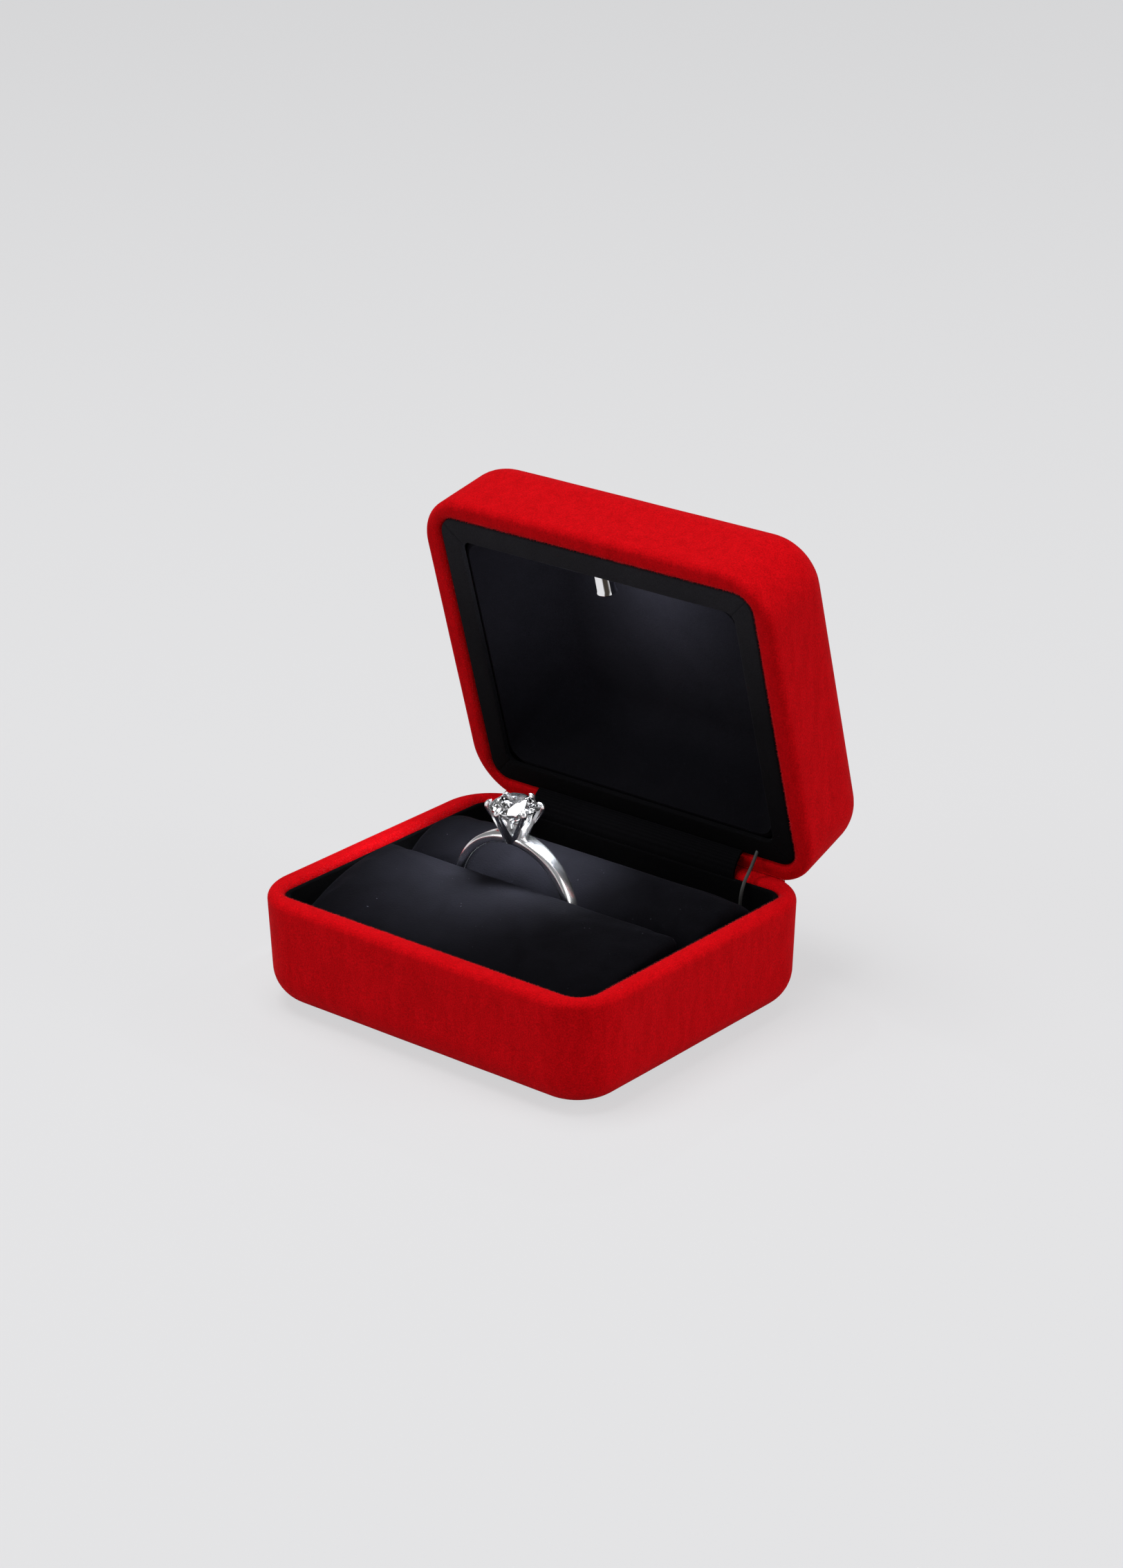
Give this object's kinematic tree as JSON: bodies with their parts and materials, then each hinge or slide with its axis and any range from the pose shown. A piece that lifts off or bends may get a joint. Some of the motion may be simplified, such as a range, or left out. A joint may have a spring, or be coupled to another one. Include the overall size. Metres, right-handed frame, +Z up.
{
  "type": "lit ring box",
  "caption": "Hinged velvet ring box, open, with a padded slot that holds a ring, a lamp in the lid and a battery circuit worked by a lid switch.",
  "frame": {"origin": "centre of the base's underside, where the box rests", "axes": "+Z up, +X to the right of someone facing the open box, -Y to the front where the lid opens"},
  "size_m": [0.062, 0.0643, 0.0684],
  "materials": {
    "red_velvet": "flocked velvet",
    "black_velvet": "flocked velvet",
    "ribbon": "woven ribbon",
    "felt": "pressed felt",
    "shell_plastic": "moulded",
    "holder_plastic": "moulded",
    "board": "lacquered",
    "resistor_body": "lacquered",
    "plunger_plastic": "moulded",
    "steel": "satin",
    "cell_steel": "polished",
    "lead_insulation": "smooth",
    "lamp_sleeve": "polished",
    "lamp_lens": "clear, lit white",
    "ring_metal": "polished",
    "stone": "faceted"
  },
  "bodies": {
    "base": {"base_shell": "shell_plastic", "base_cover": "red_velvet", "bottom_sheet": "felt", "base_liner": "black_velvet", "front_pad": "black_velvet", "rear_pad": "black_velvet", "pad_shelf": "holder_plastic", "battery_holder": "holder_plastic", "button_cells": "cell_steel", "contact_bridge": "steel", "contact_positive": "steel", "contact_negative": "steel", "battery_hatch": "holder_plastic", "hatch_screw": "steel", "circuit_board": "board", "resistor": "resistor_body", "switch_body": "holder_plastic", "base_lead": "lead_insulation", "hinge_lead": "lead_insulation", "hinge_leaf_base": "steel", "hinge_pin": "steel", "hinge_ribbon": "ribbon"},
    "lid": {"lid_shell": "shell_plastic", "lid_cover": "red_velvet", "lid_border": "black_velvet", "lid_tray": "black_velvet", "hinge_leaf_lid": "steel", "lamp_bezel": "lamp_sleeve", "lamp_bulb": "lamp_lens", "lamp_pins": "steel", "lid_lead": "lead_insulation"},
    "plunger": {"switch_plunger": "plunger_plastic"},
    "ring": {"ring_band": "ring_metal", "ring_head": "ring_metal", "ring_stone": "stone"}
  },
  "joints": [
    {"name": "lid_hinge", "type": "hinge", "parent": "base", "child": "lid", "pos_m": [0, 0.0245, 0.0174], "axis": [1, 0, 0], "range_deg": [0, 75], "deforming": ["hinge_lead", "hinge_ribbon"]},
    {"name": "switch_press", "type": "slide", "parent": "base", "child": "plunger", "axis": [0, 0, -1], "range_m": [0, 0.0015]},
    {"name": "ring_slide", "type": "slide", "parent": "base", "child": "ring", "axis": [1, 0, 0], "range_m": [-0.006, 0.014]}
  ],
  "couplings": [
    {"joint": "switch_press", "follows": "lid_hinge", "m_per_rad": 0.0011459}
  ]
}
